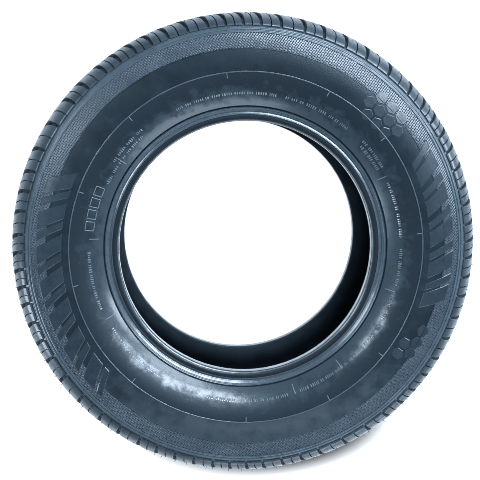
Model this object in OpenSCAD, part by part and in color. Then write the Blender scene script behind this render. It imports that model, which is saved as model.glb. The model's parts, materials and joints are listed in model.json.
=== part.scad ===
// Radial car tyre without its wheel, moulded in one piece.
// It lies on one sidewall: the spin axis is Z and the origin is the centre of the tyre.

/* [Bead] */
// Diameter of the seat that grips the rim
rim_d = 378; // [360:1:400]
// Clear width between the toes of the two beads
bead_gap = 134; // [124:1:144]
// Width of one bead from its toe to its heel
bead_w = 18; // [16:0.5:20]
// Radius of the heel of the bead
heel_r = 7; // [5:0.5:8]
// Radius of the toe of the bead
toe_r = 2.5; // [1.5:0.5:3.5]
// Height above the seat of the line that shows how the tyre sits on the rim
rim_line_h = 21; // [17:0.5:25]
// Height above the seat of the small ridge round the heel
heel_ridge_h = 10.5; // [9.5:0.25:11.5]

/* [Casing] */
// Outside diameter over the tread
outer_d = 696; // [684:1:708]
// Width over the sidewalls
section_w = 228; // [222:1:234]
// Place of the widest part between the seat and the tread, as a share of the way
widest_share = 0.547; // [0.5:0.005:0.6]
// Distance of the textured band from the widest part, on the tread's side
band_rise = 15; // [10:0.5:19]
// Distance of the thin raised line from the widest part, on the bead's side
thin_line_drop = 17; // [12:0.5:26]
// Thickness of the sidewall where it is widest
side_t = 7; // [5:0.5:9]
// Thickness of the casing under the tread grooves
base_t = 7.5; // [6:0.5:9]

/* [Tread] */
// Width of the tread between the starts of its rounded shoulders
tread_w = 160; // [152:1:166]
// Radius of the crown across the tread
crown_r = 900; // [600:10:1500]
// Radius of the shoulder
shoulder_r = 30; // [28:0.5:32]
// Depth of the grooves
tread_depth = 8; // [6:0.5:9]
// Width of the four grooves that run round the tyre
ring_groove_w = 9; // [7:0.5:11]
// Width of the rib between the two middle grooves
centre_rib_w = 24; // [20:0.5:28]
// Width of the rib on either side of the middle one
middle_rib_w = 25; // [22:0.5:27]

/* [Shoulder blocks] */
// Width of the groove between two shoulder blocks, at the tread
block_groove_w = 9.5; // [7:0.5:11]
// Width of that groove where it runs out on the sidewall
block_tail_w = 2.4; // [1.6:0.2:3]
// Distance that the groove sweeps round the tyre on its way down the shoulder
block_sweep = 40; // [30:1:44]
// Width of the thin slit in the middle of a block
slit_w = 1.4; // [1:0.1:2]
// Depth of that slit
slit_depth = 4; // [2:0.5:5]
// Width of the short slots in the middle ribs
slot_w = 3.2; // [2:0.2:4]
// Height of the wear bars above the floor of the grooves
wear_bar_h = 1.6; // [1.6:0.2:2.4]

/* [Hidden] */
$fn = 180;

outer_r = outer_d / 2;
seat_r = rim_d / 2;
widest_r = seat_r + widest_share * (outer_r - seat_r);
band_r = widest_r + band_rise;
thin_line_r = widest_r - thin_line_drop;
half_w = section_w / 2;
toe_z = bead_gap / 2;
heel_z = toe_z + bead_w;
rim_line_r = seat_r + rim_line_h;
heel_ridge_r = seat_r + heel_ridge_h;

// Relative lengths of the tread pitches, short to long, and their order round the tyre
pitch_size = [26, 30, 35, 41];
pitch_order = [0, 1, 0, 1, 1, 0, 0, 0, 1, 3, 3, 2, 2, 1, 2, 1, 0,
               0, 0, 1, 1, 0, 0, 0, 0, 2, 1, 3, 3, 2, 1, 1, 2, 0,
               0, 0, 0, 1, 1, 1, 2, 3, 3, 2, 2, 1, 1, 1, 1, 0, 0,
               0, 1, 1, 1, 3, 3, 2, 1, 0, 1, 1, 2, 2, 2, 1, 1, 0];

// Sum of the first n values of a list
function sum(v, n, i = 0) = i >= n ? 0 : v[i] + sum(v, n, i + 1);
// Point at t on the cubic curve from a to d that leaves towards b and arrives from c
function curve_at(a, b, c, d, t) =
    pow(1 - t, 3) * a + 3 * t * pow(1 - t, 2) * b + 3 * t * t * (1 - t) * c + pow(t, 3) * d;
// The curve as n points, without its first one
function curve(a, b, c, d, n) = [for (i = [1 : n]) curve_at(a, b, c, d, i / n)];
// Points of an arc about c from angle a to angle b, both ends included
function arc(c, r, a, b, n) =
    [for (i = [0 : n]) let (t = a + (b - a) * i / n) c + r * [cos(t), sin(t)]];
function mirrored(v) = [for (i = [len(v) - 1 : -1 : 0]) [v[i][0], -v[i][1]]];

// Radius of the crown at a distance z from the middle of the tread
function crown(z) = outer_r - crown_r + sqrt(crown_r * crown_r - z * z);

shoulder_z = tread_w / 2;
lean = asin(shoulder_z / crown_r);
shoulder_turn = 72;
shoulder_c = [crown(shoulder_z) - shoulder_r * cos(lean), shoulder_z - shoulder_r * sin(lean)];
shoulder_end = shoulder_c + shoulder_r * [cos(shoulder_turn), sin(shoulder_turn)];
shoulder_dir = [-sin(shoulder_turn), cos(shoulder_turn)];
widest = [widest_r, half_w];
rim_line = [rim_line_r, heel_z + 3];
flange = [seat_r + heel_r + 6, heel_z];

crown_pts = [for (i = [0 : 2]) let (z = shoulder_z * i / 3) [crown(z), z]];
shoulder_pts = arc(shoulder_c, shoulder_r, lean, shoulder_turn, 4);
upper_h = outer_r - widest_r;
lower_h = widest_r - rim_line_r;
upper_side = curve(
    shoulder_end, shoulder_end + 0.2 * upper_h * shoulder_dir, widest + [0.22 * upper_h, 0], widest, 6);
lower_side = curve(widest, widest - [0.4 * lower_h, 0], rim_line + [0.27 * lower_h, 15], rim_line, 8);
heel_edge = [seat_r + heel_r, heel_z];
side_line = concat([shoulder_end], upper_side, lower_side, [flange, heel_edge]);
bead_pts = concat(
    [flange],
    arc([seat_r + heel_r, heel_z - heel_r], heel_r, 90, 180, 5),
    arc([seat_r + toe_r, toe_z + toe_r], toe_r, 180, 270, 3));
outer_half = concat(crown_pts, shoulder_pts, upper_side, lower_side, bead_pts);

// The inside follows the outside at the wall's thickness
liner_r = outer_r - tread_depth - base_t;
liner_edge = [liner_r - 4, shoulder_z - 22];
liner_widest = [widest_r, half_w - side_t];
bead_top = [rim_line_r + 0.36 * lower_h, heel_z + 9];
liner_half = concat(
    [[seat_r + 12, toe_z - 0.5]],
    curve([seat_r + 12, toe_z - 0.5], [seat_r + 24, toe_z], bead_top - [12, 12], bead_top, 3),
    curve(bead_top, bead_top + [0.15 * lower_h, 9], liner_widest - [0.3 * lower_h, 0], liner_widest, 4),
    curve(liner_widest, liner_widest + [0.53 * upper_h, 0], liner_edge + [-3, 24], liner_edge, 6),
    [[liner_r - 1, liner_edge[1] / 2]]);

// Distance of the sidewall's outside from the middle plane at radius r
function side_z(r) = lookup(r, [for (p = side_line) [p[0], p[1]]]);

// Middles of the two grooves on one side of the tread
inner_groove_z = (centre_rib_w + ring_groove_w) / 2;
outer_groove_z = inner_groove_z + middle_rib_w + ring_groove_w;
block_z = outer_groove_z + ring_groove_w / 2;

// Groove that runs round the tread, narrower at its floor
module ring_groove(z) {
    floor_w = ring_groove_w - 3.5;
    translate([crown(z), z]) polygon([
        [4, ring_groove_w / 2 + 0.8], [-tread_depth + 1.2, floor_w / 2 + 0.6],
        [-tread_depth, floor_w / 2 - 0.8], [-tread_depth, -floor_w / 2 + 0.8],
        [-tread_depth + 1.2, -floor_w / 2 - 0.6], [4, -ring_groove_w / 2 - 0.8]]);
}

// Raised line on the sidewall at radius r, w wide and h high, with sloping sides
module side_rib(r, w, h) {
    translate([r, side_z(r)])
        polygon([[-w / 2 - h / 2, -1], [w / 2 + h / 2, -1], [w / 2, h], [-w / 2, h]]);
}

// Narrow groove in the sidewall at radius r
module side_groove(r, w, depth) {
    translate([r, side_z(r)])
        polygon([[-w / 2, 2], [w / 2, 2], [w / 4, -depth], [-w / 4, -depth]]);
}

// Section of the tyre on one side of its axis
module section() {
    difference() {
        union() {
            polygon(concat(outer_half, liner_half,
                mirrored(concat([for (i = [1 : len(outer_half) - 1]) outer_half[i]], liner_half))));
            for (s = [0, 1]) mirror([0, s]) {
                side_rib(shoulder_end[0] - 5, 1.8, 1.1);
                side_rib(shoulder_end[0] - 9, 1.8, 1.1);
                side_rib(band_r, 0.8, 0.5);
                side_rib(thin_line_r, 1.2, 0.9);
                side_rib(heel_ridge_r, 1.2, 0.7);
            }
        }
        for (z = [-outer_groove_z, -inner_groove_z, inner_groove_z, outer_groove_z]) ring_groove(z);
        for (s = [0, 1]) mirror([0, s]) {
            side_groove(shoulder_end[0] - 1.5, 2, 1.5);
            side_groove(rim_line_r + 0.5, 2, 1.2);
            side_groove(heel_ridge_r + 3.5, 1.4, 0.7);
        }
    }
}

// Angles at which the pitches start, scaled so that they close the circle
pitch_len = [for (p = pitch_order) pitch_size[p]];
pitch_total = sum(pitch_len, len(pitch_len));
first_pitch_a = 8.5;
pitch_start = [for (i = [0 : len(pitch_len)]) first_pitch_a + 360 * sum(pitch_len, i) / pitch_total];

// Sideways place of a shoulder groove at distance z from the middle plane, seen straight down on its middle
block_end_z = shoulder_end[1] + 1.5;
sweep_middle = 0.7 * block_sweep;
function sweep(z) = sweep_middle - block_sweep * sin(90 * (z - block_z) / (block_end_z - block_z));

// Strip that follows the sweep from z_from to z_to, w_from wide at the start and w_to at the end
module swept_strip(z_from, z_to, w_from, w_to, n) {
    zs = [for (i = [0 : n]) z_from + (z_to - z_from) * i / n];
    ws = [for (i = [0 : n]) w_from + (w_to - w_from) * pow(i / n, 3)];
    polygon(concat(
        [for (i = [0 : n]) [sweep(zs[i]) - ws[i] / 2, zs[i]]],
        [for (i = [n : -1 : 0]) [sweep(zs[i]) + ws[i] / 2, zs[i]]]));
}

// Space above a floor that lies depth under the tread and end_depth under the foot of the shoulder
module floor_space(depth, end_depth) {
    turns = [lean, 42, shoulder_turn + 3];
    polygon(concat(
        [[outer_r + 5, block_z - 4], [crown(block_z) - depth, block_z - 4]],
        [for (t = turns) let (d = depth + (end_depth - depth) * (t - lean) / (shoulder_turn + 3 - lean))
            shoulder_c + (shoulder_r - d) * [cos(t), sin(t)]],
        [[shoulder_end[0] - 1, block_end_z + 8], [outer_r + 5, block_end_z + 8]]));
}

// Cutter of the strip drawn as its child, down to the floor
module shoulder_cut(depth, end_depth) {
    rotate([0, 0, -sweep_middle / outer_r * 180 / PI]) intersection() {
        translate([liner_r - 20, 0, 0]) rotate([90, 0, 90]) linear_extrude(60) children();
        rotate([90, 0, 0]) linear_extrude(2 * block_sweep + 16, center = true)
            floor_space(depth, end_depth);
    }
}

// Cuts of one pitch on one side of the tread, pitch_a degrees long
module pitch_cuts(pitch_a) {
    shoulder_cut(tread_depth - 1, 2)
        swept_strip(block_z - 3, block_end_z, block_groove_w, block_tail_w, 3);
    rotate([0, 0, pitch_a / 2]) shoulder_cut(slit_depth, 1.5)
        swept_strip(shoulder_z + 1.5, block_end_z - 3, slit_w, slit_w, 2);
    rotate([0, 0, pitch_a / 2]) translate([crown(inner_groove_z) - tread_depth + 2, 0, 0])
        rotate([90, 0, 90]) linear_extrude(20) slot_outline();
    rotate([0, 0, pitch_a / 2]) translate([outer_r - slit_depth, 0, 0])
        rotate([90, 0, 90]) linear_extrude(20) centre_slit_outline();
}

// Slanted slot that runs from the outer ring groove into the middle rib
module slot_outline() {
    reach = middle_rib_w * 0.6;
    z = block_z - ring_groove_w;
    polygon([[0, z + 3], [slot_w, z + 3], [slot_w + 9, z - reach], [9 + slot_w * 0.4, z - reach]]);
}

// Slanted thin slit that runs from the inner ring groove into the centre rib
module centre_slit_outline() {
    z = centre_rib_w / 2;
    polygon([[0, z + 2], [slit_w, z + 2], [slit_w + 5, z * 0.3], [5, z * 0.3]]);
}

// Bars across the ring grooves at six places, which come level with a worn tread
module wear_bars() {
    for (i = [1 : 11 : 56], z = [-outer_groove_z, -inner_groove_z, inner_groove_z, outer_groove_z])
        rotate([0, 0, pitch_start[i] + (pitch_start[i + 1] - pitch_start[i]) / 4])
            translate([crown(z) - tread_depth - 1.5, -5, z - ring_groove_w / 2 + 0.9])
                cube([wear_bar_h + 1.5, 10, ring_groove_w - 1.8]);
}

module tyre() {
    color("#2b333c") union() {
        difference() {
            rotate_extrude() section();
            for (i = [0 : len(pitch_len) - 1]) {
                pitch_a = pitch_start[i + 1] - pitch_start[i];
                rotate([0, 0, pitch_start[i]]) pitch_cuts(pitch_a);
                rotate([0, 0, pitch_start[i] + pitch_a / 2]) rotate([180, 0, 0]) pitch_cuts(pitch_a);
            }
        }
        wear_bars();
    }
}

tyre();
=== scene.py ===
import json
import math

import bmesh
import bpy
import numpy as np
from mathutils import Matrix, Vector


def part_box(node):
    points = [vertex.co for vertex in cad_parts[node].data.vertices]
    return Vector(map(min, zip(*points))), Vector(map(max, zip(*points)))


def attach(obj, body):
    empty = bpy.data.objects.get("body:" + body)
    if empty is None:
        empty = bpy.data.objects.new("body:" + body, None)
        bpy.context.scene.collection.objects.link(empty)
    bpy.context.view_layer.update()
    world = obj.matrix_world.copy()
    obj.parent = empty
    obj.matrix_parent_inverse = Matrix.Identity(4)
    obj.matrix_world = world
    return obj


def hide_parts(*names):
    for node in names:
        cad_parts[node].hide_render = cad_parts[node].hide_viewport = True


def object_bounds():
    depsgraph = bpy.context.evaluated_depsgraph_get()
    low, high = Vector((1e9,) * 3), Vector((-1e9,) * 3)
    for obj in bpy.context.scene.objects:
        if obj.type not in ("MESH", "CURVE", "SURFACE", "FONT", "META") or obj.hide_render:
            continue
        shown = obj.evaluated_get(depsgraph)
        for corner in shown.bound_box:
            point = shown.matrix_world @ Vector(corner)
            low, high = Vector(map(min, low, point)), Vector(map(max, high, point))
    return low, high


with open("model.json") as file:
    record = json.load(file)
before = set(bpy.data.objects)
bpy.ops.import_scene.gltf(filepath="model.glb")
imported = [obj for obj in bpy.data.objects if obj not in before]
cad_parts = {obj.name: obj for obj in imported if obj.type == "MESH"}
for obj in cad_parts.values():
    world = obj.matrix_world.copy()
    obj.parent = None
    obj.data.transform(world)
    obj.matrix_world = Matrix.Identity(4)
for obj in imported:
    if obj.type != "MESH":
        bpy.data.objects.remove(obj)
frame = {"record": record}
cad_low, cad_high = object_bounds()
node_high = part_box("tyre")[1]

# Sizes are in millimetres and angles in degrees until a mesh is made
MM = 0.001

# Casing and beads. The highest marks stand RAISED above the bare sidewall
RAISED = 0.6
OUTER_R = round(node_high.x / MM, 1)
HALF_W = round(node_high.z / MM, 1) - RAISED
SEAT_R = frame["record"]["mounts"][0]["dims"]["r_mm"]
TOE_Z = 67
BEAD_W = 18
HEEL_R = 7
TOE_R = 2.5
WIDEST_R = 276
RIM_LINE_R = 210
HEEL_RIDGE_R = 199.5
HEEL_LINE_R = 190.8
BAND_R = 291
THIN_LINE_R = 259
RIM_RIDGE_R = RIM_LINE_R - 2.6
FLANGE_DIP = 1.2
SIDE_T = 7
BASE_T = 7.5
SEGMENTS = 360

# Tread. Its blocks stand on a casing that lies BURIED below the crown, and what is cut deeper than
# DARK_FROM gets painted shade: the nearly black colour of the grooves
SHOULDER_Z = 80
CROWN_R = 900
SHOULDER_R = 30
SHOULDER_TURN = 72
TREAD_DEPTH = 8
RING_GROOVE_W = 9
RING_FLOOR_W = 5.5
CENTRE_RIB_W = 24
MIDDLE_RIB_W = 25
BLOCK_GROOVE_W = 9.5
BLOCK_GROOVE_DEPTH = 7
BLOCK_TAIL_W = 2.4
BLOCK_TAIL_DEPTH = 2
BLOCK_SWEEP = 40
SWEEP_MIDDLE = 0.7 * BLOCK_SWEEP
SLIT_W = 1.4
SLIT_DEPTH = 4
SLOT_W = 3.2
SLOT_DEPTH = 6
SLOT_L = 0.6 * MIDDLE_RIB_W
SLOT_SLANT = 9
CENTRE_SLIT_END = 3.2
CENTRE_SLIT_L = 8.4
CENTRE_SLANT = 5
WEAR_BAR_H = 1.6
WEAR_BAR_L = 10
WEAR_BARS_AT = (1, 12, 23, 34, 45, 56)
BURIED = 9.5
BEVEL = 0.6
DARK_FROM = 2.7

# Relative lengths of the tread pitches, short to long, and their order round the tyre
PITCH_SIZE = [26, 30, 35, 41]
PITCH_ORDER = [0, 1, 0, 1, 1, 0, 0, 0, 1, 3, 3, 2, 2, 1, 2, 1, 0,
               0, 0, 1, 1, 0, 0, 0, 0, 2, 1, 3, 3, 2, 1, 1, 2, 0,
               0, 0, 0, 1, 1, 1, 2, 3, 3, 2, 2, 1, 1, 1, 1, 0, 0,
               0, 1, 1, 1, 3, 3, 2, 1, 0, 1, 1, 2, 2, 2, 1, 1, 0]
PITCH_TURN = 8.5

# Camera, fitted to the rings of the tyre in a photograph 480 pixels wide
CAMERA_AT = (-103.5, 209.1, 1426.4)
CAMERA_LOOKS_AT = (-4.0, 1.15, 0)
FOCAL_PX = 915
PICTURE_PX = 480
SENSOR_MM = 36


def cubic(a, b, c, d, n):
    """n points of the cubic curve from a to d that leaves towards b and arrives from c, a left out."""
    t = np.linspace(0, 1, n + 1)[1:, None]
    a, b, c, d = (np.array(p, float) for p in (a, b, c, d))
    return (1 - t) ** 3 * a + 3 * t * (1 - t) ** 2 * b + 3 * t * t * (1 - t) * c + t ** 3 * d


def arc(centre, radius, start, end, n):
    """n + 1 points of a circle about centre, from angle start to angle end."""
    t = np.radians(np.linspace(start, end, n + 1))[:, None]
    return np.array(centre) + radius * np.hstack([np.cos(t), np.sin(t)])


def crown(z):
    """Radius of the tread at distance z from its middle: an arc of CROWN_R across the tread."""
    return OUTER_R - CROWN_R + np.sqrt(CROWN_R ** 2 - np.square(z))


LEAN = math.degrees(math.asin(SHOULDER_Z / CROWN_R))
SHOULDER_C = np.array([crown(SHOULDER_Z) - SHOULDER_R * math.cos(math.radians(LEAN)),
                       SHOULDER_Z - SHOULDER_R * math.sin(math.radians(LEAN))])
SHOULDER_END = arc(SHOULDER_C, SHOULDER_R, SHOULDER_TURN, SHOULDER_TURN, 0)[0]
SHOULDER_DIR = arc((0, 0), 1, SHOULDER_TURN + 90, SHOULDER_TURN + 90, 0)[0]
FOOT_R = SHOULDER_END[0]
HEEL_Z = TOE_Z + BEAD_W
WIDEST = np.array([WIDEST_R, HALF_W])
RIM_LINE = np.array([RIM_LINE_R, HEEL_Z + 3])
FLANGE = np.array([SEAT_R + HEEL_R + 6, HEEL_Z])
HEEL_EDGE = np.array([SEAT_R + HEEL_R, HEEL_Z])
SIDE_LINE = np.vstack([
    [SHOULDER_END],
    cubic(SHOULDER_END, SHOULDER_END + 14 * SHOULDER_DIR, WIDEST + (16, 0), WIDEST, 40),
    cubic(WIDEST, WIDEST - (26, 0), RIM_LINE + (18, 15), RIM_LINE, 60),
    [FLANGE, HEEL_EDGE]])[::-1]

# Lines and grooves round the sidewall: radius, width at the top, height, width of each flank
SIDE_RINGS = [
    (FOOT_R - 5, 1.8, 1.2, 0.6),
    (FOOT_R - 9, 1.8, 1.2, 0.6),
    (BAND_R, 0.8, 0.5, 0.4),
    (THIN_LINE_R, 1.2, 0.9, 0.4),
    (HEEL_RIDGE_R, 1.2, 0.8, 0.4),
    (RIM_RIDGE_R, 1.0, 0.8, 0.6),
    (FOOT_R - 1.5, 1.2, -1.5, 0.5),
    (RIM_LINE_R + 0.5, 1.2, -1.2, 0.5),
    (HEEL_RIDGE_R + 3.5, 0.8, -0.7, 0.4)]

# Textured band between two radii: it lies lower, so that its ridges end level with the sidewall. Each
# family of ridges has its direction and how much lower than the first it lies
HATCH_IN = BAND_R + 1
HATCH_OUT = FOOT_R - 10.5
HATCH_DEPTH = 0.5
HATCH_EDGE = 0.4
RIDGE_W = 2.0
HATCH_PITCH = 3.05
HATCH_FAMILIES = ((52, 0.0), (-40, 0.14))


def side_z(r):
    """Height of the bare sidewall at radius r, on straight lines between the points of its section."""
    return np.interp(r, SIDE_LINE[:, 0], SIDE_LINE[:, 1])


def ring_height(r):
    """Height of the sidewall's lines at radius r over its bare section. With d the distance from a line
    as a share of its reach, a raised line is its height times (1 - d squared) to the power 0.35, and a
    groove has a flat floor and straight flanks. The flange's seat is a shallow dip and the textured band
    a step down."""
    r = np.asarray(r, float)
    h = np.zeros_like(r)
    for radius, width, height, slope in SIDE_RINGS:
        reach = width / 2 + slope
        d = np.abs(r - radius) / reach
        if height > 0:
            h += height * np.clip(1 - d ** 2, 0, 1) ** 0.35
        else:
            h += height * np.clip((1 - d) * reach / slope, 0, 1)
    h -= np.interp(r, [HEEL_RIDGE_R - 1, FLANGE[0] + 0.5, RIM_LINE_R - 1], [0, FLANGE_DIP, 0])
    middle = (HATCH_IN + HATCH_OUT) / 2
    half = (HATCH_OUT - HATCH_IN) / 2
    return h - HATCH_DEPTH * np.clip((half + HATCH_EDGE - np.abs(r - middle)) / HATCH_EDGE, 0, 1)


def on_side(r, angle, height=0.0):
    """Points height above the upper sidewall: (r cos angle, r sin angle, side_z(r) + height), the angle
    in radians."""
    r, angle, height = np.broadcast_arrays(np.asarray(r, float), angle, height)
    return np.stack([r * np.cos(angle), r * np.sin(angle), side_z(r) + height], -1)


def turned_over(points):
    """The same points on the lower side: half a turn about X."""
    return points * np.array([1, -1, -1])


def make_piece(name, points, faces, materials, zones=None, sharp=35):
    """Mesh object from points in millimetres and faces of corner numbers, its faces pointing outwards."""
    mesh = bpy.data.meshes.new(name)
    mesh.from_pydata((np.reshape(points, (-1, 3)) * MM).tolist(), [], [list(f) for f in faces])
    for material in materials:
        mesh.materials.append(material)
    if zones is not None:
        mesh.polygons.foreach_set("material_index", np.asarray(zones, np.int32))
    form = bmesh.new()
    form.from_mesh(mesh)
    bmesh.ops.recalc_face_normals(form, faces=form.faces)
    form.to_mesh(mesh)
    form.free()
    mesh.shade_smooth()
    mesh.set_sharp_from_angle(angle=math.radians(sharp))
    piece = bpy.data.objects.new(name, mesh)
    bpy.context.scene.collection.objects.link(piece)
    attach(piece, "root")
    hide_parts("tyre")


def ring_faces(rows, columns):
    """Faces of a grid of rows by columns that closes on itself both ways."""
    i, j = np.meshgrid(np.arange(rows), np.arange(columns), indexing="ij")
    up, on = (i + 1) % rows, (j + 1) % columns
    corners = np.stack([i * columns + j, i * columns + on, up * columns + on, up * columns + j], -1)
    return corners.reshape(-1, 4)


def strip_faces(rows, columns):
    """Faces of a grid of rows by columns that closes round each row and has a cap at both ends."""
    i, j = np.meshgrid(np.arange(rows - 1), np.arange(columns), indexing="ij")
    on = (j + 1) % columns
    sides = np.stack([i * columns + j, i * columns + on, (i + 1) * columns + on, (i + 1) * columns + j], -1)
    caps = [list(range(columns))[::-1], list(range((rows - 1) * columns, rows * columns))]
    return sides.reshape(-1, 4).tolist() + caps


def joined(parts):
    """One list of points and one of faces from several (points, faces) pairs."""
    points, faces, start = [], [], 0
    for part_points, part_faces in parts:
        part_points = np.reshape(part_points, (-1, 3))
        points.append(part_points)
        faces += [[corner + start for corner in face] for face in part_faces]
        start += len(part_points)
    return np.vstack(points), faces


# Materials

def linear(hex_colour):
    """Linear colour of an sRGB hex value."""
    values = [int(hex_colour[i:i + 2], 16) / 255 for i in (1, 3, 5)]
    return [v / 12.92 if v <= 0.04045 else ((v + 0.055) / 1.055) ** 2.4 for v in values] + [1]


def add(tree, kind, inputs=(), **settings):
    """A shader node with its settings, its input values and its links."""
    made = tree.nodes.new(kind)
    for name, value in settings.items():
        setattr(made, name, value)
    for name, value in dict(inputs).items():
        if isinstance(value, bpy.types.NodeSocket):
            tree.links.new(value, made.inputs[name])
        else:
            made.inputs[name].default_value = value
    return made


def ramp(tree, factor, stops):
    """Colour ramp over a factor, from (place, hex colour) stops."""
    made = add(tree, "ShaderNodeValToRGB", {"Fac": factor})
    elements = made.color_ramp.elements
    while len(elements) < len(stops):
        elements.new(0.5)
    for element, (place, colour) in zip(elements, stops):
        element.position = place
        element.color = linear(colour)
    return made.outputs["Color"]


def shifted_blend(tree, blend, measure, places, shifts):
    """The blend plus a shift, which runs from its first to its second value between two places in mm."""
    span = {"Value": measure, "From Min": places[0] * MM, "From Max": places[1] * MM,
            "To Min": shifts[0], "To Max": shifts[1]}
    shift = add(tree, "ShaderNodeMapRange", span).outputs["Result"]
    return add(tree, "ShaderNodeMath", {0: blend, 1: shift}, operation="ADD").outputs[0]


def rubber(name, shades, roughness, shine, grain, wave, inner=None, toward_minus_y=None):
    """Cured carbon black rubber. A slow noise of wave[0] mm blends the shades and makes the roughness and
    the shine uneven. A fine noise of grain[0] mm roughens the surface, and both have their depth in mm
    second. Between the radii inner the blend rises towards the bead, a painted sheen that lightens the
    colour there, and between the two places of the last argument it rises along -Y, so that the surface
    is lighter, greyer and a little glossier there."""
    material = bpy.data.materials.new(name)
    material.use_nodes = True
    tree = material.node_tree
    shader = tree.nodes["Principled BSDF"]
    place = add(tree, "ShaderNodeTexCoord").outputs["Object"]
    noise = {"Vector": place, "Scale": 1 / (wave[0] * MM), "Detail": 5.0, "Roughness": 0.6}
    slow = add(tree, "ShaderNodeTexNoise", noise).outputs["Fac"]
    noise = {"Vector": place, "Scale": 1 / (grain[0] * MM), "Detail": 3.0}
    fine = add(tree, "ShaderNodeTexNoise", noise).outputs["Fac"]
    blend = slow
    if inner:
        flat = add(tree, "ShaderNodeVectorMath", {0: place, 1: (1, 1, 0)}, operation="MULTIPLY").outputs[0]
        radius = add(tree, "ShaderNodeVectorMath", {0: flat}, operation="LENGTH").outputs["Value"]
        # Painted sheen: lighter and glossier towards the bead
        blend = shifted_blend(tree, blend, radius, inner, (0.25, -0.3))
    if toward_minus_y:
        # Lighter, greyer and a little glossier towards -Y
        y = add(tree, "ShaderNodeSeparateXYZ", {0: place}).outputs["Y"]
        blend = shifted_blend(tree, blend, y, toward_minus_y, (0.0, 0.5))
    stops = list(zip((0.35, 0.65, 1.0), shades))
    tree.links.new(ramp(tree, blend, stops), shader.inputs["Base Color"])
    for socket, (low, high) in (("Roughness", roughness), ("Coat Weight", shine)):
        span = {"Value": blend, "From Min": 0.38, "From Max": 0.62, "To Min": low, "To Max": high}
        tree.links.new(add(tree, "ShaderNodeMapRange", span).outputs["Result"], shader.inputs[socket])
    waves = add(tree, "ShaderNodeBump", {"Height": slow, "Distance": wave[1] * MM}).outputs["Normal"]
    grains = add(tree, "ShaderNodeBump", {"Height": fine, "Distance": grain[1] * MM, "Normal": waves})
    tree.links.new(grains.outputs["Normal"], shader.inputs["Normal"])
    tree.links.new(waves, shader.inputs["Coat Normal"])
    shader.inputs["IOR"].default_value = 1.52
    shader.inputs["Specular Tint"].default_value = linear("#cfe3f4")
    shader.inputs["Coat Roughness"].default_value = 0.16
    shader.inputs["Coat IOR"].default_value = 1.7
    return material


# Every finish is tyre rubber cured in a steel mould, so it has the mould's finish where it stands:
# blasted on the sidewall, polished at the bead, as cut on the texture. Its real grain of about 0.1 mm is
# too fine to show and is drawn 1.6 to 3 mm wide

# Several of these finishes also carry painted light or shade, as their comments say
# Tread compound, satin from the release agent: a soft grey that catches a wide, even light
TREAD_RUBBER = rubber("tread_rubber", ("#323e48", "#404e59"), roughness=(0.42, 0.32),
                      shine=(0.35, 0.6), grain=(2.5, 0.12), wave=(14, 0.2))
# The same compound on the walls and floors of the grooves and on the wear bars, with painted shade:
# nearly black and matt
GROOVE_PAINTED_SHADE = rubber("groove_painted_shade", ("#141c22", "#1c262e"), roughness=(0.6, 0.7),
                       shine=(0.0, 0.0), grain=(2.5, 0.1), wave=(14, 0.1))
# Sidewall compound off a blasted mould: dark and even, and lighter, greyer and a little glossier towards -Y
SIDE_RUBBER = rubber("sidewall_rubber", ("#19242c", "#26323b", "#424d56"), roughness=(0.34, 0.28),
                     shine=(0.0, 0.25), grain=(2.0, 0.1), wave=(26, 0.1), toward_minus_y=(-140, -265))
# The sidewall near the bead, rubbed by hands: cloudy, with patches that shine and patches that don't;
# its colour gets lighter towards the bead as painted sheen
LOWER_PAINTED_SHEEN = rubber("lower_sidewall_painted_sheen", ("#1b2730", "#374752"), roughness=(0.44, 0.3),
                      shine=(0.1, 0.62), grain=(2.2, 0.08), wave=(16, 0.1), inner=(210, 252))
# Crests of the textured band off the sharp cuts of the mould, with painted highlight: drawn lighter than
# the sidewall, so they read as small bright lines
TEXTURE_PAINTED_LIGHT = rubber("texture_crest_painted_light", ("#3a4956", "#475765"), roughness=(0.34, 0.3),
                        shine=(0.8, 1.0), grain=(2.2, 0.02), wave=(30, 0.05))
# Floor between those crests, with painted shade: dark and matt
TEXTURE_PAINTED_SHADE = rubber("texture_floor_painted_shade", ("#161f26", "#1e2830"), roughness=(0.6, 0.6),
                       shine=(0.0, 0.0), grain=(2.2, 0.02), wave=(30, 0.05))
# Raised lines round the sidewall and the strip by the shoulder, off the smooth bottoms of grooves turned in
# the mould, with painted highlight: drawn lighter than the sidewall, so they read as light, thin arcs
RIB_PAINTED_LIGHT = rubber("rib_painted_light", ("#44545f", "#52626f"), roughness=(0.36, 0.32),
                    shine=(0.35, 0.55), grain=(2.2, 0.02), wave=(20, 0.05))
# Small raised marks and ticks, off engraved cuts, with painted glint: drawn pale, so they read as thin
# lines whose edges glint
MARK_PAINTED_GLINT = rubber("raised_painted_glint", ("#66757f", "#75848f"), roughness=(0.3, 0.28),
                     shine=(0.6, 0.8), grain=(2.2, 0.02), wave=(20, 0.05))
# Flat tops of panels and plates, off a smooth insert of the mould: a little glossier than the sidewall
PANEL_RUBBER = rubber("panel_rubber", ("#25323c", "#303e49"), roughness=(0.4, 0.34),
                      shine=(0.3, 0.6), grain=(2.0, 0.06), wave=(12, 0.1))
# Bead and flange seat, off a polished ring: smooth, with a clear bright line along each bend, and drawn
# lighter than the sidewall as painted sheen
BEAD_PAINTED_SHEEN = rubber("bead_painted_sheen", ("#43525e", "#52616c"), roughness=(0.3, 0.2),
                     shine=(0.6, 1.0), grain=(1.6, 0.03), wave=(14, 0.08))
# Heel band and the groove at the rim line, with painted shade: a dark band with little gloss
HEEL_PAINTED_SHADE = rubber("heel_painted_shade", ("#10181f", "#172029"), roughness=(0.5, 0.45),
                     shine=(0.0, 0.2), grain=(1.6, 0.03), wave=(14, 0.08))
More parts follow.
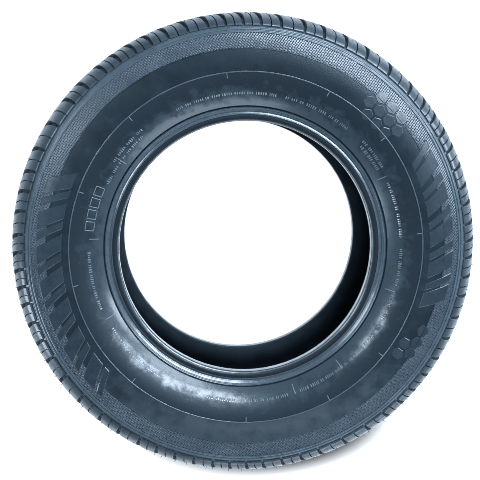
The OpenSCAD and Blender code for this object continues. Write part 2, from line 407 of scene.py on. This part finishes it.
# Butyl liner pressed by the bladder: dull and slightly wavy
LINER_RUBBER = rubber("butyl_liner", ("#1d2730", "#28333d"), roughness=(0.5, 0.6),
                      shine=(0.0, 0.1), grain=(3.0, 0.1), wave=(30, 0.3))


# Casing: sidewalls, beads and liner

# Zones of the casing, numbered in the order of their finishes
CASING_FINISHES = [SIDE_RUBBER, BEAD_PAINTED_SHEEN, LINER_RUBBER, LOWER_PAINTED_SHEEN, RIB_PAINTED_LIGHT, TEXTURE_PAINTED_SHADE,
                   HEEL_PAINTED_SHADE]
SIDE, BEAD, LINER, LOWER, RIB, TEXTURE, HEEL = range(len(CASING_FINISHES))


def side_radii():
    """Radii at which the sidewall's section bends: a steady spacing and the edges of lines and grooves."""
    radii = list(np.linspace(FOOT_R - 1, HEEL_EDGE[0], 26))
    for radius, width, height, slope in SIDE_RINGS:
        reach = width / 2 + slope
        steps = (0.3, 0.8, 1) if height > 0 else (width / 2 / reach, 1)
        radii += [radius + reach * step * side for step in steps for side in (-1, 1)]
    radii += [HATCH_IN - HATCH_EDGE, HATCH_IN, HATCH_OUT, HATCH_OUT + HATCH_EDGE]
    radii = np.unique(np.round(radii, 3))[::-1]
    return radii[(radii >= HEEL_EDGE[0]) & (radii <= FOOT_R - 1.4)]


def casing_profile():
    """Closed section as points and the zone of each. It runs up from the middle of the tread, BURIED
    under the crown, then in over the sidewall, round the bead on arcs, back along the liner on cubic
    curves, and after that the same way mirrored. The heel's line is a bump of the form exp(-x squared)
    half a millimetre wide."""
    zs = np.linspace(0, 70, 6)[:, None]
    under_crown = np.hstack([crown(zs) - BURIED, zs])
    under_shoulder = arc(SHOULDER_C, SHOULDER_R - BURIED, 10, 60, 5)
    radii = side_radii()
    side = np.stack([radii, side_z(radii) + ring_height(radii)], -1)
    under_foot = SHOULDER_END[None] - (0.6, 1.8)
    heel = arc((SEAT_R + HEEL_R, HEEL_Z - HEEL_R), HEEL_R, 90, 180, 18)[1:]
    heel -= (0.5, -0.3) * np.exp(-((heel[:, :1] - HEEL_LINE_R) / 0.5) ** 2)
    toe = arc((SEAT_R + TOE_R, TOE_Z + TOE_R), TOE_R, 180, 270, 5)
    liner_r = OUTER_R - TREAD_DEPTH - BASE_T
    liner_edge = np.array([liner_r - 4, SHOULDER_Z - 22])
    liner_widest = np.array([WIDEST_R, HALF_W - SIDE_T])
    bead_top = np.array([RIM_LINE_R + 24, HEEL_Z + 9])
    start = np.array([SEAT_R + 12, TOE_Z - 0.5])
    liner = np.vstack([
        [start],
        cubic(start, start + (12, 0.5), bead_top - (12, 12), bead_top, 4),
        cubic(bead_top, bead_top + (10, 9), liner_widest - (20, 0), liner_widest, 5),
        cubic(liner_widest, liner_widest + (38, 0), liner_edge + (-3, 24), liner_edge, 8),
        [[liner_r - 1, liner_edge[1] / 2]]])
    parts = [(under_crown, SIDE), (under_shoulder, SIDE), (under_foot, SIDE), (side, SIDE), (heel, BEAD),
             (toe[:3], BEAD), (toe[3:], LINER), (liner, LINER)]
    half = np.vstack([p for p, zone in parts])
    zones = np.concatenate([np.full(len(p), zone) for p, zone in parts])
    other_half = half[1:][::-1] * (1, -1)
    return np.vstack([half, other_half]), np.concatenate([zones, zones[1:][::-1]])


def make_casing():
    """Revolves the section: the point at angle a is (r cos a, r sin a, z)."""
    profile, zones = casing_profile()
    angles = np.linspace(0, 2 * math.pi, SEGMENTS, endpoint=False)
    r, z = profile[:, 0][:, None], profile[:, 1][:, None]
    points = np.stack([r * np.cos(angles), r * np.sin(angles), z + 0 * angles], -1)
    faces = ring_faces(len(profile), SEGMENTS)
    face_zones = np.maximum(zones, np.roll(zones, -1))
    middle_r = (profile[:, 0] + np.roll(profile[:, 0], -1)) / 2
    # The flange seat gets the bead's painted sheen
    face_zones[(face_zones == SIDE) & (middle_r < FLANGE[0] + 6)] = BEAD
    # Inside the thin line the sidewall gets the lower rubber, with its painted sheen towards the bead
    face_zones[(face_zones == SIDE) & (middle_r < THIN_LINE_R)] = LOWER
    # The strip by the shoulder gets the ribs' painted highlight
    face_zones[(face_zones == SIDE) & (middle_r > HATCH_OUT)] = RIB
    # The textured band's floor gets its painted shade
    face_zones[(face_zones == SIDE) & (middle_r > HATCH_IN)] = TEXTURE
    # The heel band and the groove at the rim line get painted shade
    in_heel = (middle_r > SEAT_R + 0.3) & (middle_r < HEEL_RIDGE_R - 0.8)
    in_heel &= np.abs(middle_r - HEEL_LINE_R) > 0.8
    in_rim_groove = np.abs(middle_r - RIM_LINE_R - 0.5) < 0.9
    face_zones[(face_zones == BEAD) & in_heel | in_rim_groove] = HEEL
    # The raised lines get the ribs' painted highlight
    for line_r in (HEEL_RIDGE_R, RIM_RIDGE_R, THIN_LINE_R):
        face_zones[(face_zones != LINER) & (np.abs(middle_r - line_r) < 0.8)] = RIB
    make_piece("casing", points, faces, CASING_FINISHES, np.repeat(face_zones, SEGMENTS))


# Tread

INNER_GROOVE_Z = (CENTRE_RIB_W + RING_GROOVE_W) / 2
OUTER_GROOVE_Z = INNER_GROOVE_Z + MIDDLE_RIB_W + RING_GROOVE_W
RIB_END_Z = OUTER_GROOVE_Z - RING_GROOVE_W / 2
BLOCK_Z = OUTER_GROOVE_Z + RING_GROOVE_W / 2
BLOCK_END_Z = SHOULDER_END[1] + 1.5


def shoulder_point(turn):
    """Point of the shoulder's arc at an angle from the radial direction."""
    return arc(SHOULDER_C, SHOULDER_R, turn, turn, 0)[0]


def tread_rows():
    """Rows of half the tread from the foot of the shoulder to its middle and back underneath. Each is
    (radius, height, angle of the outward direction, depth of the row itself)."""
    foot = [(SHOULDER_TURN, 3.2), (SHOULDER_TURN, 1.7), (71.4, 0.4), (70, 0)]
    turns = (66, 60, 54, 47, 40, 33, 26, 19, 12, LEAN)
    rows = [(*shoulder_point(turn), turn, depth) for turn, depth in foot + [(turn, 0) for turn in turns]]
    half, floor = RING_GROOVE_W / 2, RING_FLOOR_W / 2
    flank = [(half + BEVEL, 0), (half, BEVEL), (floor + 0.7, TREAD_DEPTH - 1.2), (floor - 0.8, TREAD_DEPTH)]
    groove = flank + [(-d, depth) for d, depth in flank[::-1]]
    slot_end = RIB_END_Z - SLOT_L
    across = [(z, 0) for z in (76, 71, 66, 61)]
    across += [(OUTER_GROOVE_Z + d, depth) for d, depth in groove]
    across += [(z, 0) for z in (RIB_END_Z - 4, RIB_END_Z - 9, slot_end + 0.8, slot_end, slot_end - 4)]
    across += [(INNER_GROOVE_Z + d, depth) for d, depth in groove]
    across += [(z, 0) for z in (8, CENTRE_SLIT_END + 0.8, CENTRE_SLIT_END, 0)]
    across += [(0, BURIED + 1)]
    rows += [(crown(z), z, math.degrees(math.asin(z / CROWN_R)), depth) for z, depth in across]
    rows += [(crown(z), z, 0, BURIED + 1) for z in (30, 60)]
    rows += [(*shoulder_point(35), 35, BURIED + 1)]
    return np.array(rows)


def groove_angles(upper):
    """Angle of each groove, length of the block after it and the way round. The lower grooves lie half a
    pitch on from the upper ones, and their blocks follow in the other direction."""
    pitch = np.array([PITCH_SIZE[p] for p in PITCH_ORDER], float)
    pitch *= 2 * math.pi / pitch.sum()
    start = math.radians(PITCH_TURN) + np.concatenate([[0], np.cumsum(pitch)[:-1]])
    if upper:
        return start, pitch, 1
    middle = (start + pitch / 2)[::-1]
    return middle, np.append(middle[:-1] - middle[1:], middle[-1] - middle[0] + 2 * math.pi), -1


def spread(left, right):
    """Three columns on the face of a block, evenly between its two edges."""
    return [(left + (right - left) * share, 0) for share in (0.25, 0.5, 0.75)]


def make_tread(name, upper):
    """Half of the tread: rows across it and columns that follow the grooves round it. A point is its
    row's place on the tread, moved inwards by the deeper of its row's and its column's depth. A shoulder
    groove sweeps round with the sine of its way down the shoulder and narrows with the cube of it."""
    rows = tread_rows()
    r, z, turn, row_depth = (column[:, None] for column in rows.T)
    groove_at, pitch, way = groove_angles(upper)
    on_shoulder = z > BLOCK_Z - 1
    t = np.clip((z - BLOCK_Z) / (BLOCK_END_Z - BLOCK_Z), 0, 1)
    sweep = SWEEP_MIDDLE - BLOCK_SWEEP * np.sin(t * math.pi / 2)
    half_w = (BLOCK_GROOVE_W + (BLOCK_TAIL_W - BLOCK_GROOVE_W) * t ** 3) / 2
    way_down = np.clip((turn - LEAN) / (SHOULDER_TURN + 3 - LEAN), 0, 1)
    groove_depth = BLOCK_GROOVE_DEPTH + (BLOCK_TAIL_DEPTH - BLOCK_GROOVE_DEPTH) * way_down
    groove_depth = np.where(on_shoulder, groove_depth, 0)

    # Cut in the middle of a pitch: a slit in the shoulder block and the centre rib, a slot in the middle rib
    in_slot = (z <= RIB_END_Z + 1) & (z > RIB_END_Z - SLOT_L + 0.4)
    in_centre = (z < CENTRE_RIB_W / 2 + 1) & (z > CENTRE_SLIT_END + 0.3)
    in_slit = (z > SHOULDER_Z + 1) & (turn < SHOULDER_TURN - 1) | in_centre
    cut_depth = np.where(in_slot, SLOT_DEPTH, np.where(in_slit, SLIT_DEPTH, 0))
    cut_half = np.where((z < BLOCK_Z - 1) & (z > INNER_GROOVE_Z), SLOT_W / 2, SLIT_W / 2)
    slot_shift = SLOT_SLANT * np.clip((RIB_END_Z - z) / SLOT_L, 0, 1) + cut_half
    slit_shift = CENTRE_SLANT * np.clip((CENTRE_RIB_W / 2 - z) / CENTRE_SLIT_L, 0, 1) + cut_half
    cut_shift = np.where(on_shoulder, 0, np.where(z < INNER_GROOVE_Z, slit_shift, slot_shift))

    floor = np.maximum(half_w - 0.7, 0.35)
    groove_cols = [(-half_w - BEVEL, 0), (-half_w, BEVEL), (-floor, groove_depth), (floor, groove_depth),
                   (half_w, BEVEL), (half_w + BEVEL, 0)]
    cut_cols = [(-cut_half - 0.15, 0), (-cut_half + 0.15, cut_depth), (cut_half - 0.15, cut_depth),
                (cut_half + 0.15, 0)]
    angle_parts, depth_parts = [], []
    for begin, length in zip(groove_at, pitch):
        cut_at = length / 2 * r + cut_shift
        columns = groove_cols + spread(groove_cols[-1][0], cut_at + cut_cols[0][0])
        columns += [(cut_at + x, depth) for x, depth in cut_cols]
        columns += spread(cut_at + cut_cols[-1][0], length * r + groove_cols[0][0])
        angle_parts += [begin + way * ((x + sweep) / r - SWEEP_MIDDLE / OUTER_R) for x, depth in columns]
        depth_parts += [np.broadcast_to(np.asarray(depth, float), r.shape) for x, depth in columns]
    angle = np.hstack(angle_parts)
    cut_here = ((groove_depth > 0) | (cut_depth > 0)) & (np.abs(z) >= 1) & (row_depth <= TREAD_DEPTH)
    depth = np.maximum(row_depth, np.where(cut_here, np.hstack(depth_parts), 0))
    radius = r - depth * np.cos(np.radians(turn))
    height = way * (z - depth * np.sin(np.radians(turn)))
    points = np.stack([radius * np.cos(angle), radius * np.sin(angle), height], -1)
    faces = ring_faces(*angle.shape)
    # Faces cut deeper than DARK_FROM get the grooves' painted shade; the slits on the shoulder and the faces
    # under the crown keep the tread's colour
    light = (row_depth > TREAD_DEPTH) | np.isclose(depth, SLIT_DEPTH) & on_shoulder
    deepest = np.where(light, 0, depth).reshape(-1)[faces].max(1)
    make_piece(name, points, faces, [TREAD_RUBBER, GROOVE_PAINTED_SHADE], deepest > DARK_FROM)


def make_wear_bars():
    """Low blocks across the four ring grooves at six places round the tread: each is a rectangle in the
    plane of the wheel, carried across its groove."""
    start, pitch, way = groove_angles(True)
    half = (RING_FLOOR_W + RING_GROOVE_W) / 4
    parts = []
    for i in WEAR_BARS_AT:
        for z in (-OUTER_GROOVE_Z, -INNER_GROOVE_Z, INNER_GROOVE_Z, OUTER_GROOVE_Z):
            top = crown(z) - TREAD_DEPTH + WEAR_BAR_H
            r = np.array([top - 4, top - 4, top, top])
            angle = start[i] + pitch[i] / 4 + np.array([-1, 1, 1, -1]) * WEAR_BAR_L / 2 / top
            section = np.stack([r * np.cos(angle), r * np.sin(angle), 0 * r], -1)
            ends = np.stack([section + (0, 0, z - half), section + (0, 0, z + half)])
            parts.append((ends, strip_faces(2, 4)))
    # The bars get the grooves' painted shade
    make_piece("wear_bars", *joined(parts), [GROOVE_PAINTED_SHADE])


# Raised texture and marks on the sidewalls

# Panels in two groups of (first angle, number). Each is a wide and a narrow bar, as (start, width), and
# both lean by PANEL_SLANT
PANEL_GROUPS = [(154.5, 7), (341, 5)]
PANEL_STEP = 9.7
PANEL_BARS = ((0, 5), (5.7, 2.4))
PANEL_SLANT = 4.4
PANEL_IN = 269
PANEL_OUT = 306
PANEL_H = 0.5
PAD_BEVEL = 1.3

# Four empty boxes in a row
BOX_TURN = 156
BOX_STEP = 4.3
BOX_W = 3.2
BOX_IN = 226
BOX_OUT = 238

# Ticks at the thin line and between the rows of marks, and rows of small marks as (start, end, radius)
TICK_W = 1.5
LINE_TICK_L = 8
LINE_TICKS = (5.4, 39.7, 63.2, 96.8, 131, 159.8, 190.8, 228.4, 269.4, 298.5, 321.6)
LOOSE_TICKS = (28, 144, 175.2, 205.6, 288.3, 308.4, 343.6)
LOOSE_TICK_ENDS = (217, 231)
MARK_H = 0.5
MARK_ROWS = [(4, 25.6, 229), (31.6, 44, 232), (31.6, 42, 225), (50.8, 76, 229), (79.6, 114.4, 229),
             (130.6, 146, 233), (132, 153.4, 225), (180, 199.6, 231), (209.6, 236.4, 229), (254.8, 285, 229),
             (290.4, 306, 229), (310, 341, 229), (346, 358, 229)]

# Two groups of honeycomb plates: (angle, radius, cells)
PLATE_H = 0.35
HONEYCOMB = [(45, 262, [(-2, 1), (-1, 0), (-1, 1), (0, 0), (0, 1), (0, 2), (1, 1), (1, 0), (-1, 2), (1, 2)]),
             (329, 274, [(-1, 0), (0, 0), (0, 1), (-1, 1), (1, 1)])]

# Vent hairs: their number, where on the shoulder they stand, and (distance out, half thickness) along one
HAIRS = 110
HAIR_TURNS = (25, 34)
HAIR_SHAPE = ((-1.5, 0.45), (1.0, 0.38), (2.4, 0.3), (3.8, 0.16))


def path_across(path, ahead):
    """Level unit directions square to the way ahead, at each point of a path."""
    ahead = ahead / np.linalg.norm(ahead, axis=1)[:, None]
    return np.stack([-ahead[:, 1], ahead[:, 0], 0 * ahead[:, 0]], -1)


def carried(path, across, shape):
    """A section of (distance across, height) points carried along a path on the sidewall."""
    return np.stack([path + across * x + np.array([0, 0, h]) for x, h in shape], 1)


def ridge(r, angle, width, height, sink=0.7):
    """Raised line along a path on the sidewall. With x the distance from its middle over half its width,
    its top falls to the sunk edge as the root of (1 - x to the 4th)."""
    path = on_side(r, angle)
    across = path_across(path, np.gradient(path[:, :2], axis=0))
    shape = [(-width / 2, -sink), (width / 2, -sink)]
    for x in (0.9, 0.6, 0, -0.6, -0.9):
        shape.append((width / 2 * x, height - (height + sink) * (1 - math.sqrt(1 - x ** 4))))
    return carried(path, across, shape), strip_faces(len(path), len(shape))


def hatch_family(direction, lower):
    """Straight ridges in one direction, HATCH_PITCH apart, cut off at both circles of the band."""
    d = math.radians(direction)
    along, across = np.array([math.cos(d), math.sin(d)]), np.array([-math.sin(d), math.cos(d)])
    parts = []
    for offset in np.arange(-HATCH_OUT + 1, HATCH_OUT - 1, HATCH_PITCH):
        outer = math.sqrt(HATCH_OUT ** 2 - offset ** 2)
        inner = math.sqrt(max(HATCH_IN ** 2 - offset ** 2, 0))
        spans = [(-outer, outer)] if inner == 0 else [(-outer, -inner), (inner, outer)]
        for begin, end in spans:
            steps = max(3, int((end - begin) / 5) + 2)
            xy = across * offset + np.linspace(begin, end, steps)[:, None] * along
            r = np.hypot(xy[:, 0], xy[:, 1])
            parts.append(ridge(r, np.arctan2(xy[:, 1], xy[:, 0]), RIDGE_W, -lower, HATCH_DEPTH + 0.1))
    return parts


def band_texture():
    """Both families of ridges of one sidewall, which cross and make its small diamonds."""
    parts = []
    for direction, lower in HATCH_FAMILIES:
        parts += hatch_family(direction, lower)
    return joined(parts)


def loop(corners, step=3):
    """Closed path on straight lines between (radius, angle) corners, its points about step mm apart."""
    ends = corners[1:] + corners[:1]
    parts = []
    for (r0, a0), (r1, a1) in zip(corners, ends):
        length = math.hypot(r1 - r0, (a1 - a0) * (r0 + r1) / 2)
        t = np.linspace(0, 1, max(2, round(length / step)) + 1)[:-1]
        parts.append(np.stack([r0 + (r1 - r0) * t, a0 + (a1 - a0) * t], -1))
    return np.vstack(parts)


def outline(corners, width, height):
    """Raised line that closes on itself through (radius, angle) corners: a bevelled bar carried round."""
    r, angle = loop(corners).T
    path = on_side(r, angle)
    across = path_across(path, (np.roll(path, -1, 0) - np.roll(path, 1, 0))[:, :2])
    shape = [(-width / 2, -1), (width / 2, -1), (width * 0.38, height * 0.6), (width * 0.15, height),
             (-width * 0.15, height), (-width * 0.38, height * 0.6)]
    return carried(path, across, shape), ring_faces(len(path), len(shape))


def pad(start, end, inner, outer, slant, height):
    """Plain panel between two radii and two angles: a grid over the sidewall whose angle grows by slant
    from the inner to the outer edge, with a bevel PAD_BEVEL wide all round and a closed underside."""
    rim_u = PAD_BEVEL / (inner + outer) * 2 / (end - start)
    rim_v = PAD_BEVEL / (outer - inner)
    columns = max(3, round((end - start) / math.radians(1.5)))
    u = np.concatenate([[0], np.linspace(rim_u, 1 - rim_u, columns), [1]])
    v = np.concatenate([[0], np.linspace(rim_v, 1 - rim_v, 8), [1]])
    u, v = np.meshgrid(u, v, indexing="ij")
    r = inner + (outer - inner) * v
    angle = start + (end - start) * u + slant * v
    edge = (u == 0) | (u == 1) | (v == 0) | (v == 1)
    top = on_side(r, angle, np.where(edge, -0.2, height))
    return slab(top, on_side(r, angle, -1.2))


def slab(top, bottom):
    """Closed body between two grids of points of the same shape."""
    rows, columns = top.shape[:2]
    i, j = np.meshgrid(np.arange(rows - 1), np.arange(columns - 1), indexing="ij")
    first = (i * columns + j).reshape(-1)
    lid = np.stack([first, first + columns, first + columns + 1, first + 1], -1)
    count = rows * columns
    number = np.arange(count).reshape(rows, columns)
    rim = np.concatenate([number[0, :-1], number[:-1, -1], number[-1, :0:-1], number[:0:-1, 0]])
    on = np.roll(rim, -1)
    walls = np.stack([rim, on, on + count, rim + count], -1)
    points = np.vstack([top.reshape(-1, 3), bottom.reshape(-1, 3)])
    return points, np.vstack([lid, lid[:, ::-1] + count, walls]).tolist()


def plate(r, angle, height):
    """Raised plate with straight edges between its (r, angle) corners: three outlines one above the
    other, of which the top one is drawn in by a tenth as a bevel."""
    levels = ((1.0, -1.2), (1.0, height - 0.25), (0.9, height))
    rings = [on_side(r.mean() + (r - r.mean()) * scale, angle.mean() + (angle - angle.mean()) * scale, h)
             for scale, h in levels]
    return np.stack(rings), strip_faces(len(rings), len(r))


def hexagons(angle, radius, cells, width=16, gap=2.5):
    """Honeycomb plates round a place on the sidewall. A cell (i, j) lies i steps along its row, which is
    j rows out, and every second row is half a step on."""
    step = width + gap
    corner = np.radians(np.arange(6) * 60 + 30)
    parts = []
    for i, j in cells:
        x = (i + (j % 2) / 2) * step + width / math.sqrt(3) * np.cos(corner)
        y = j * step * math.sqrt(3) / 2 + width / math.sqrt(3) * np.sin(corner)
        parts.append(plate(radius + y, math.radians(angle) + x / radius, PLATE_H))
    return parts


def small_marks(start, end, radius, seed, tall=4.6):
    """Row of small upright bars of uneven sizes along an arc, in groups of two to five."""
    rng = np.random.default_rng(seed)
    parts = []
    at = math.radians(start)
    while at < math.radians(end):
        for mark in range(rng.integers(2, 6)):
            wide = rng.uniform(1.0, 2.2) / radius
            high = tall * rng.uniform(0.7, 1)
            r = radius + high / 2 * np.array([-1, -1, 1, 1])
            parts.append(plate(r, at + wide * np.array([0, 1, 1, 0]), MARK_H))
            at += wide + 1.5 / radius
        at += rng.uniform(1.5, 4) / radius
    return parts


def tick(angle, inner, outer):
    """Short raised line along a radius."""
    r = np.linspace(inner, outer, 4)
    return ridge(r, np.full(4, math.radians(angle)), TICK_W, RAISED)


def vent_hairs():
    """Thin rubber hairs left by the mould's air vents at uneven places round the shoulder: a small square
    carried outwards, which leans aside with the square of the way and thins."""
    rng = np.random.default_rng(5)
    parts = []
    for angle in np.arange(0, 2 * math.pi, 2 * math.pi / HAIRS):
        angle += rng.uniform(-0.02, 0.02)
        turn = math.radians(rng.uniform(*HAIR_TURNS))
        out = np.array([math.cos(angle) * math.cos(turn), math.sin(angle) * math.cos(turn), math.sin(turn)])
        side = np.array([-math.sin(angle), math.cos(angle), 0])
        up = np.cross(out, side)
        lean = side * rng.uniform(-0.5, 0.5) + up * rng.uniform(-0.3, 0.3)
        root = np.array([SHOULDER_C[0] * math.cos(angle), SHOULDER_C[0] * math.sin(angle), SHOULDER_C[1]])
        rings = []
        for reach, thick in HAIR_SHAPE:
            at = root + out * (SHOULDER_R + reach) + lean * max(reach, 0) ** 2 / HAIR_SHAPE[-1][0]
            rings.append([at + side * thick, at + up * thick, at - side * thick, at - up * thick])
        parts.append((np.array(rings), strip_faces(len(HAIR_SHAPE), 4)))
    return joined(parts)


def flat_marks():
    """Panels and honeycomb plates of one sidewall."""
    parts = []
    for start, number in PANEL_GROUPS:
        for i in range(number):
            for shift, width in PANEL_BARS:
                a = math.radians(start + PANEL_STEP * i + shift)
                b = a + math.radians(width)
                parts.append(pad(a, b, PANEL_IN, PANEL_OUT, math.radians(PANEL_SLANT), PANEL_H))
    for angle, radius, cells in HONEYCOMB:
        parts += hexagons(angle, radius, cells)
    return joined(parts)


def line_marks():
    """Boxes, ticks and rows of small marks of one sidewall."""
    parts = []
    for i in range(4):
        a = math.radians(BOX_TURN + BOX_STEP * i)
        b = a + math.radians(BOX_W)
        parts.append(outline([(BOX_IN, a), (BOX_IN, b), (BOX_OUT, b), (BOX_OUT, a)], 1.4, MARK_H))
    parts += [tick(angle, THIN_LINE_R - LINE_TICK_L, THIN_LINE_R) for angle in LINE_TICKS]
    parts += [tick(angle, *LOOSE_TICK_ENDS) for angle in LOOSE_TICKS]
    for number, (start, end, radius) in enumerate(MARK_ROWS):
        parts += small_marks(start, end, radius, number)
    return joined(parts)


def make_pair(name, form, finish, sharp=35):
    """The same piece on the upper and, turned over, on the lower side."""
    points, faces = form
    make_piece(name + "_upper", points, faces, [finish], sharp=sharp)
    make_piece(name + "_lower", turned_over(points), faces, [finish], sharp=sharp)


make_casing()
make_tread("tread_upper", True)
make_tread("tread_lower", False)
make_wear_bars()
make_pair("hairs", vent_hairs(), TREAD_RUBBER)
# The texture's crests carry a painted highlight
make_pair("band_texture", band_texture(), TEXTURE_PAINTED_LIGHT, 60)
make_pair("panels", flat_marks(), PANEL_RUBBER, 12)
# The marks carry a painted glint
make_pair("marks", line_marks(), MARK_PAINTED_GLINT)


# Floor, world, lamps and camera

FLOOR_W = 16000
LAMP_COLOUR = "#e3effa"
LAMP_DISTANCE = 2.4

# Soft lamps, all at LAMP_DISTANCE in metres: name, angle round the Z axis, angle down from it, width,
# height, radiance
LAMPS = [
    ("softbox_right", 49, 37, 1.6, 0.72, 16),
    ("softbox_right_side", 49, 55, 1.1, 0.5, 8),
    ("softbox_low", 18, 66, 0.8, 0.6, 12),
    ("softbox_left", 157, 34, 0.65, 0.5, 11),
    ("softbox_far_left", 205, 70, 0.9, 0.6, 12),
    ("softbox_below", -70, 71, 2.2, 0.9, 2.3),
    ("softbox_top", -66, 22, 0.5, 0.6, 0.6)]


def painted_floor_shadow(tree, place, shift, stretch, ring, reach):
    """Brightness of the floor's painted shadow round a dark ring or, with ring 0, a dark oval. With d the
    distance of the shifted and stretched place from the ring, the floor is dark where d is less than the
    first reach, and rises smoothly to full brightness at the second."""
    place = add(tree, "ShaderNodeVectorMath", {0: place, 1: shift}, operation="ADD").outputs[0]
    place = add(tree, "ShaderNodeVectorMath", {0: place, 1: stretch}, operation="MULTIPLY").outputs[0]
    far = add(tree, "ShaderNodeVectorMath", {0: place}, operation="LENGTH").outputs["Value"]
    far = add(tree, "ShaderNodeMath", {0: far, 1: ring}, operation="SUBTRACT").outputs[0]
    far = add(tree, "ShaderNodeMath", {0: far}, operation="ABSOLUTE").outputs[0]
    span = {"Value": far, "From Min": reach[0], "From Max": reach[1], "To Min": 0.1, "To Max": 1.0}
    return add(tree, "ShaderNodeMapRange", span, interpolation_type="SMOOTHSTEP").outputs["Result"]


def make_floor():
    """Square floor at the height of the CAD's lowest point. To the camera and in reflections it glows
    plain white, apart from a painted shadow: a dark ring where the sidewall rests and a dark oval beside
    the tyre towards -Y, which dim its glow and darken its matt colour. Elsewhere it is pale and matt
    to all other light."""
    half = FLOOR_W / 2 * MM
    corners = [(x * half, y * half, cad_low.z) for x, y in ((-1, -1), (1, -1), (1, 1), (-1, 1))]
    mesh = bpy.data.meshes.new("floor")
    mesh.from_pydata(corners, [], [(0, 1, 2, 3)])
    material = bpy.data.materials.new("white_floor")
    material.use_nodes = True
    tree = material.node_tree
    tree.nodes.remove(tree.nodes["Principled BSDF"])
    ray = add(tree, "ShaderNodeLightPath").outputs
    seen = ray["Is Camera Ray"]
    for other in ("Is Glossy Ray", "Is Transmission Ray"):
        seen = add(tree, "ShaderNodeMath", {0: seen, 1: ray[other]}, operation="MAXIMUM").outputs[0]
    place = add(tree, "ShaderNodeTexCoord").outputs["Object"]
    # Painted shadow: a ring under the sidewall and an oval beside the tyre towards -Y
    under = painted_floor_shadow(tree, place, (0.0, 0.0, 0.0), (1.0, 1.0, 0.0), WIDEST_R * MM, (0.02, 0.076))
    beside = painted_floor_shadow(tree, place, (-0.04, 0.33, 0.0), (4.0, 8.5, 0.0), 0.0, (0.72, 1.06))
    level = add(tree, "ShaderNodeMath", {0: under, 1: beside}, operation="MINIMUM").outputs[0]
    glow = add(tree, "ShaderNodeMath", {0: seen, 1: level}, operation="MULTIPLY").outputs[0]
    tint = ramp(tree, ray["Is Camera Ray"], [(0, "#dceaf9"), (1, "#ffffff")])
    light = add(tree, "ShaderNodeEmission", {"Strength": glow, "Color": tint})
    pale = ramp(tree, level, [(0.1, "#303436"), (1, "#d8dcdf")])
    matt = add(tree, "ShaderNodeBsdfDiffuse", {"Color": pale})
    both = add(tree, "ShaderNodeAddShader", {0: light.outputs[0], 1: matt.outputs[0]})
    tree.links.new(both.outputs[0], tree.nodes["Material Output"].inputs["Surface"])
    mesh.materials.append(material)
    floor = bpy.data.objects.new("floor", mesh)
    bpy.context.scene.collection.objects.link(floor)


def make_world():
    """Room that is bright near the horizon and dim overhead, and plain white to the camera."""
    world = bpy.data.worlds.new("studio")
    bpy.context.scene.world = world
    world.use_nodes = True
    tree = world.node_tree
    place = add(tree, "ShaderNodeTexCoord").outputs["Generated"]
    up = add(tree, "ShaderNodeSeparateXYZ", {0: place}).outputs["Z"]
    span = {"Value": up, "From Min": 0.05, "From Max": 0.45, "To Min": 0.9, "To Max": 0.12}
    room = add(tree, "ShaderNodeMapRange", span).outputs["Result"]
    camera_ray = add(tree, "ShaderNodeLightPath").outputs["Is Camera Ray"]
    tint = ramp(tree, camera_ray, [(0, "#e6eff9"), (1, "#ffffff")])
    strength = add(tree, "ShaderNodeMath", {0: room, 1: camera_ray}, operation="MAXIMUM").outputs[0]
    background = tree.nodes["Background"]
    tree.links.new(tint, background.inputs["Color"])
    tree.links.new(strength, background.inputs["Strength"])


def add_softbox(name, azimuth, from_top, width, height, radiance):
    """Rectangular soft lamp aimed at the tyre's middle, from the direction (sin b cos a, sin b sin a, cos
    b) with a the angle round the Z axis and b the angle down from it. Its power is radiance times area
    times pi."""
    a, b = math.radians(azimuth), math.radians(from_top)
    at = Vector((math.sin(b) * math.cos(a), math.sin(b) * math.sin(a), math.cos(b))) * LAMP_DISTANCE
    lamp = bpy.data.lights.new(name, "AREA")
    lamp.shape = "RECTANGLE"
    lamp.size = width
    lamp.size_y = height
    lamp.energy = radiance * width * height * math.pi
    lamp.color = linear(LAMP_COLOUR)[:3]
    holder = bpy.data.objects.new(name, lamp)
    holder.location = at
    holder.rotation_euler = (-at).to_track_quat("-Z", "Y").to_euler()
    bpy.context.scene.collection.objects.link(holder)


def make_camera():
    """Camera at the fitted place, with the top of the picture towards +Y."""
    camera = bpy.data.cameras.new("camera")
    camera.sensor_width = SENSOR_MM
    camera.lens = FOCAL_PX / PICTURE_PX * SENSOR_MM
    at, target = Vector(CAMERA_AT) * MM, Vector(CAMERA_LOOKS_AT) * MM
    back = (at - target).normalized()
    right = Vector((0, 1, 0)).cross(back).normalized()
    turn = Matrix((right, back.cross(right), back)).transposed().to_4x4()
    holder = bpy.data.objects.new("camera", camera)
    holder.matrix_world = Matrix.Translation(at) @ turn
    bpy.context.scene.collection.objects.link(holder)
    bpy.context.scene.camera = holder


make_floor()
make_world()
for lamp in LAMPS:
    add_softbox(*lamp)
make_camera()
bpy.context.scene.view_settings.view_transform = "Standard"
bpy.context.scene.cycles.filter_width = 0.85
